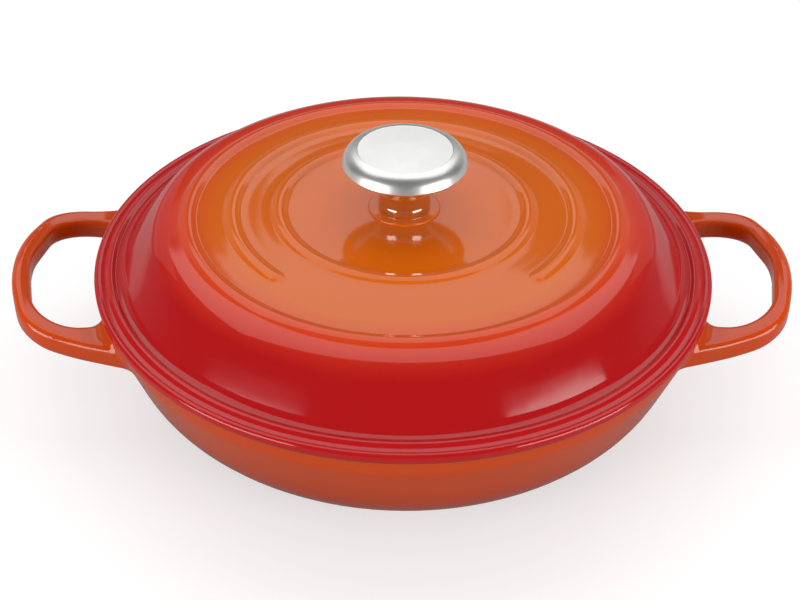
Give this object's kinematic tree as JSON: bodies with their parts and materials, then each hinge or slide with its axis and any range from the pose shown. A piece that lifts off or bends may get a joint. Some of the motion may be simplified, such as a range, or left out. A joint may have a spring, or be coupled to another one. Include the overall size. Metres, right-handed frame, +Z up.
{
  "type": "braiser",
  "caption": "Shallow round enamelled cast-iron braiser with side loop handles and a domed lift-off lid that carries raised rings and a hollow steel knob.",
  "frame": {"origin": "centre of the pan's foot, on the surface it stands on", "axes": "+X along the right loop handle, +Y away from the viewer, +Z up through the knob"},
  "size_m": [0.389, 0.306, 0.1284],
  "materials": {
    "pan_enamel": "glossy orange enamel outside, satin sand-coloured enamel inside",
    "lid_enamel": "glossy enamel that shades from orange at the crown to red at the edge, sand-coloured inside",
    "knob_cap_steel": "satin face, polished rounded rim",
    "knob_stem_steel": "polished",
    "insert_steel": "turned",
    "washer_steel": "stamped, bright",
    "screw_steel": "bright"
  },
  "bodies": {
    "pan": {"pan": "pan_enamel"},
    "lid": {"lid": "lid_enamel", "knob_cap": "knob_cap_steel", "knob_stem": "knob_stem_steel", "knob_insert": "insert_steel", "screw_washer": "washer_steel", "knob_screw": "screw_steel"}
  },
  "joints": [
    {"name": "lid_lift", "type": "slide", "parent": "pan", "child": "lid", "axis": [0, 0, 1], "range_m": [0, 0.2]}
  ]
}
